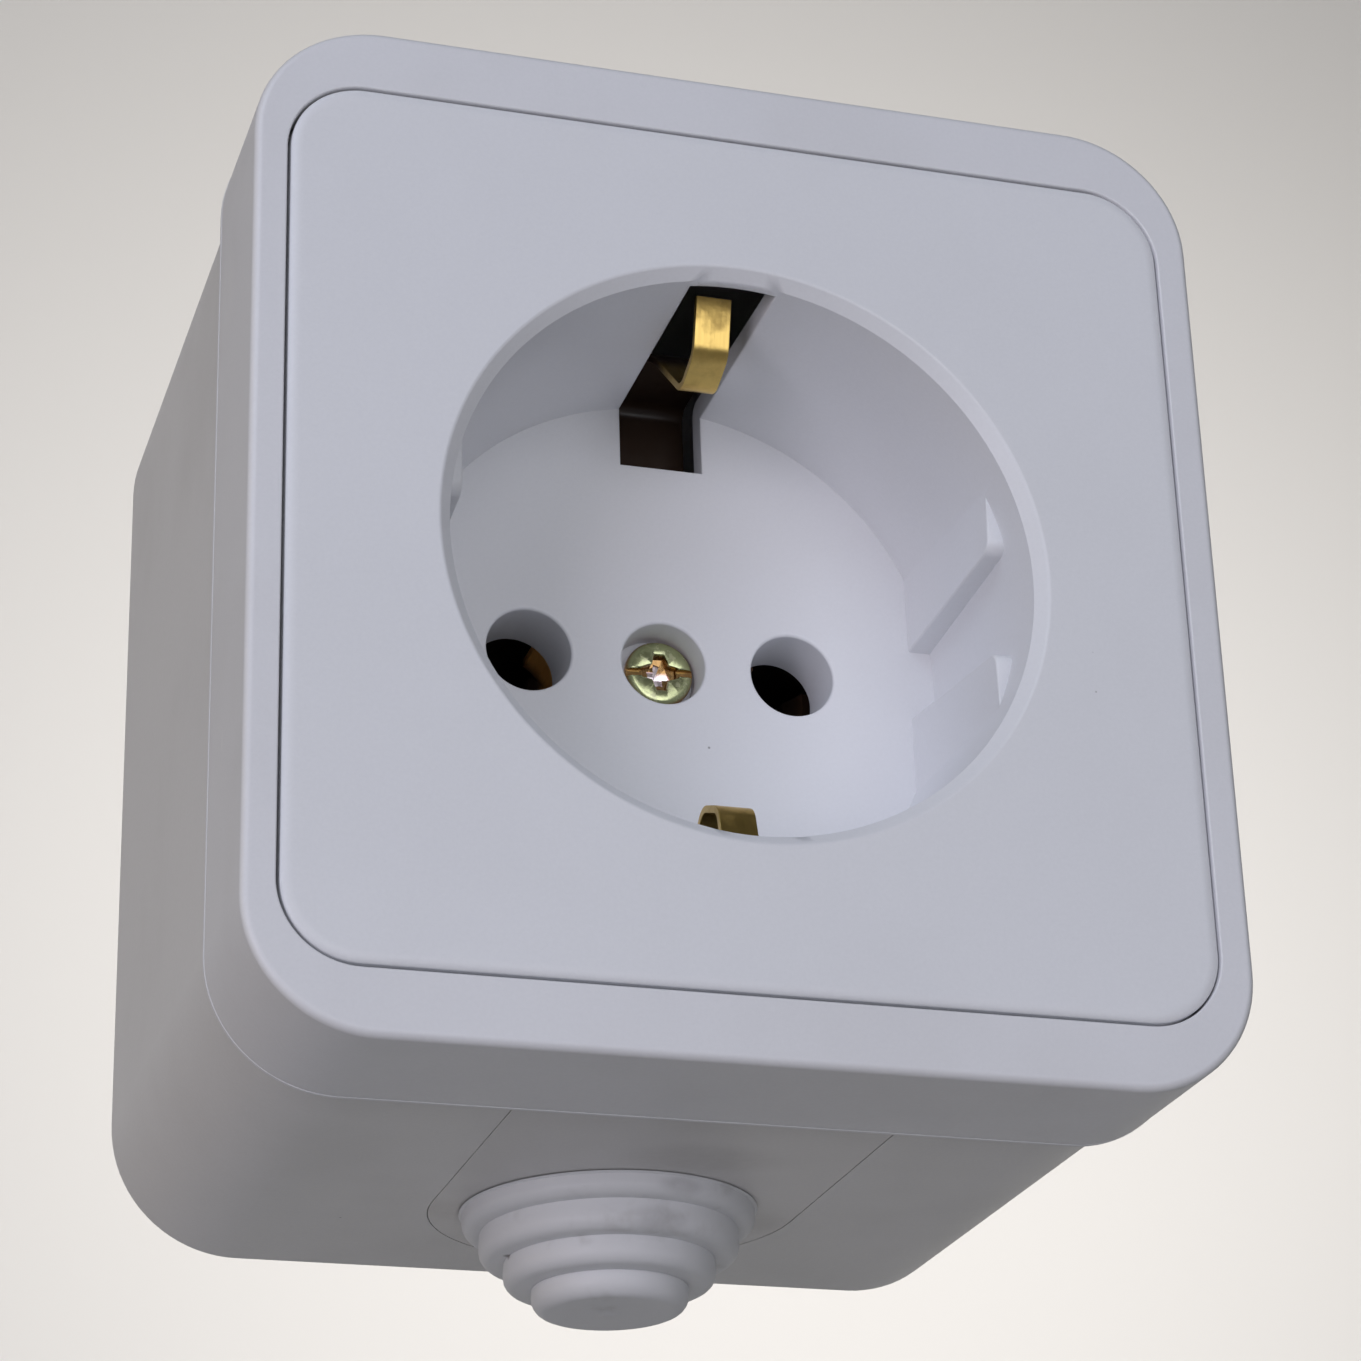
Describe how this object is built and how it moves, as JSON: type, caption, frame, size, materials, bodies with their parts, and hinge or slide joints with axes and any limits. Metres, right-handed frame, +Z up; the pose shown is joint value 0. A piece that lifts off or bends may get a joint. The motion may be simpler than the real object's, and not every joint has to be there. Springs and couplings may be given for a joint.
{
  "type": "surface mounted socket",
  "caption": "Grounded mains socket outlet in a box for wall surface mounting, with a round plug recess, side earth clips and a stepped cable grommet below.",
  "frame": {"origin": "centre of the box's flat back, on the wall", "axes": "+Y into the wall, -Y out of the wall towards the user, +Z up with the cable grommet below, +X to the right as the user sees it"},
  "size_m": [0.066, 0.0523, 0.0771],
  "materials": {
    "white_plastic": "satin moulded",
    "soft_plastic": "soft matt",
    "dark_plastic": "matt moulded",
    "brass": "bright strip",
    "yellow_zinc": "yellow zinc plated",
    "zinc_steel": "zinc plated"
  },
  "bodies": {
    "root": {"back_box": "white_plastic", "cable_entry_plate": "white_plastic", "cable_grommet": "soft_plastic", "centre_cover": "white_plastic", "contact_cover": "dark_plastic", "cover_nut": "brass", "cover_screw": "yellow_zinc", "earth_clamp": "zinc_steel", "earth_screw": "zinc_steel", "earth_strap": "brass", "front_frame": "white_plastic", "mechanism_base": "dark_plastic", "pin_contact_left": "brass", "pin_contact_right": "brass", "plate_rivet_lower": "zinc_steel", "plate_rivet_upper": "zinc_steel", "support_plate": "zinc_steel", "support_screw_left": "zinc_steel", "support_screw_right": "zinc_steel", "terminal_clamp_left": "zinc_steel", "terminal_clamp_right": "zinc_steel", "terminal_screw_left": "zinc_steel", "terminal_screw_right": "zinc_steel"}
  },
  "joints": []
}
